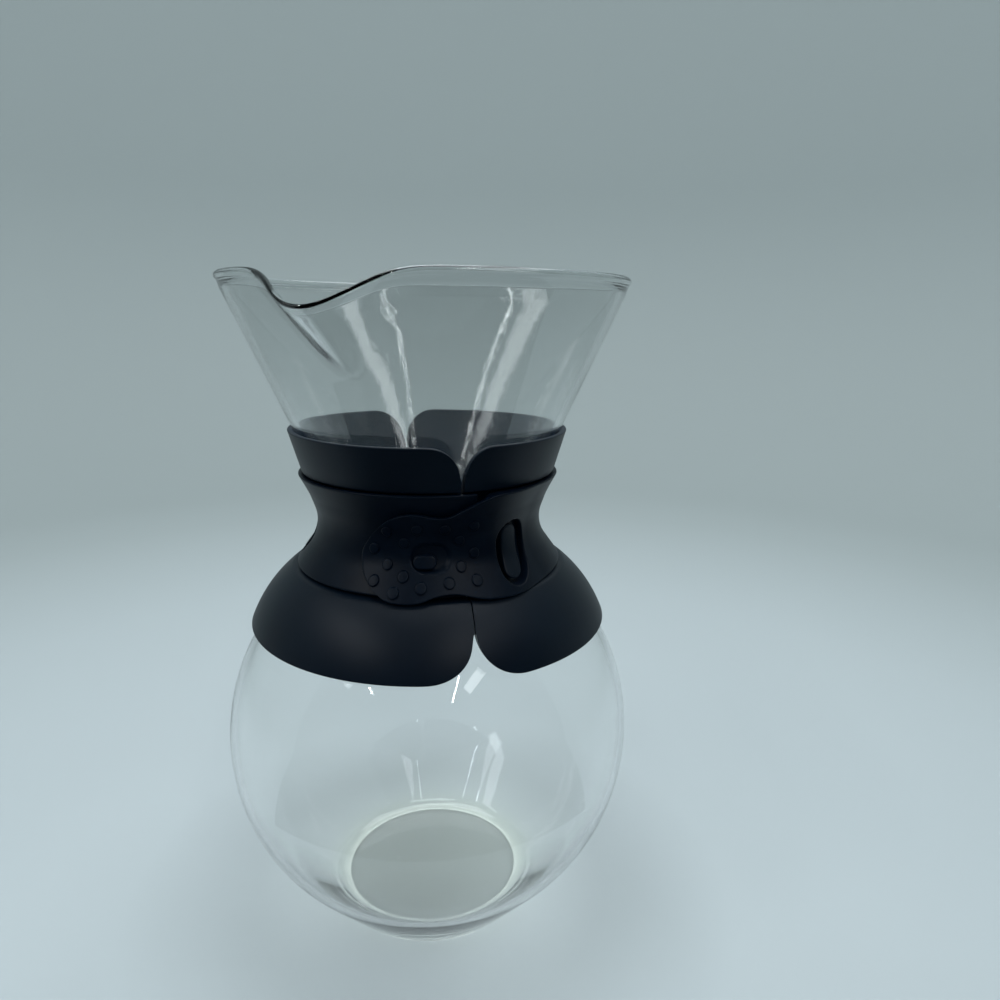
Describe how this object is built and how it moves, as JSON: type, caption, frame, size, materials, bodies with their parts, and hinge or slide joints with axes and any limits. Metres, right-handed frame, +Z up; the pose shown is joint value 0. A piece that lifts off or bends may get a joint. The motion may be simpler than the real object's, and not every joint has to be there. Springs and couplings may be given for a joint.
{
  "type": "coffee server carafe",
  "caption": "Glass coffee server with a round bowl, narrow neck, funnel top and pouring lip, and a black two-part collar held round the neck by a soft strap.",
  "frame": {"origin": "centre of the flat foot that the glass stands on", "axes": "+Z up along the axis of the glass; -Y towards the picture's viewer, with the pouring lip at the front left"},
  "size_m": [0.1318, 0.1333, 0.208],
  "materials": {
    "glass": "clear polished borosilicate glass",
    "shell_black": "fine satin moulded plastic",
    "strap_black": "matte silicone rubber"
  },
  "bodies": {
    "carafe": {"glass_carafe": "glass"},
    "left_half": {"collar_shell_left": "shell_black", "strap_left": "strap_black", "strap_back_web": "strap_black", "closing_stud": "strap_black"},
    "right_half": {"collar_shell_right": "shell_black", "strap_right": "strap_black"},
    "tab": {"strap_tab": "strap_black"}
  },
  "joints": [
    {"name": "left_half_swing", "type": "hinge", "parent": "carafe", "child": "left_half", "pos_m": [-0.00945, 0.04092, 0], "axis": [0, 0, -1], "range_deg": [0, 30]},
    {"name": "right_half_swing", "type": "hinge", "parent": "left_half", "child": "right_half", "pos_m": [-0.00945, 0.04092, 0], "axis": [0, 0, 1], "range_deg": [0, 60], "deforming": ["strap_back_web"]},
    {"name": "tab_fold", "type": "hinge", "parent": "right_half", "child": "tab", "pos_m": [0.01952, -0.03831, 0], "axis": [0, 0, 1], "range_deg": [0, 108], "deforming": ["closing_stud"]}
  ],
  "couplings": [
    {"joint": "right_half_swing", "follows": "left_half_swing", "ratio": 2},
    {"joint": "tab_fold", "follows": "left_half_swing", "ratio": 3.6}
  ]
}
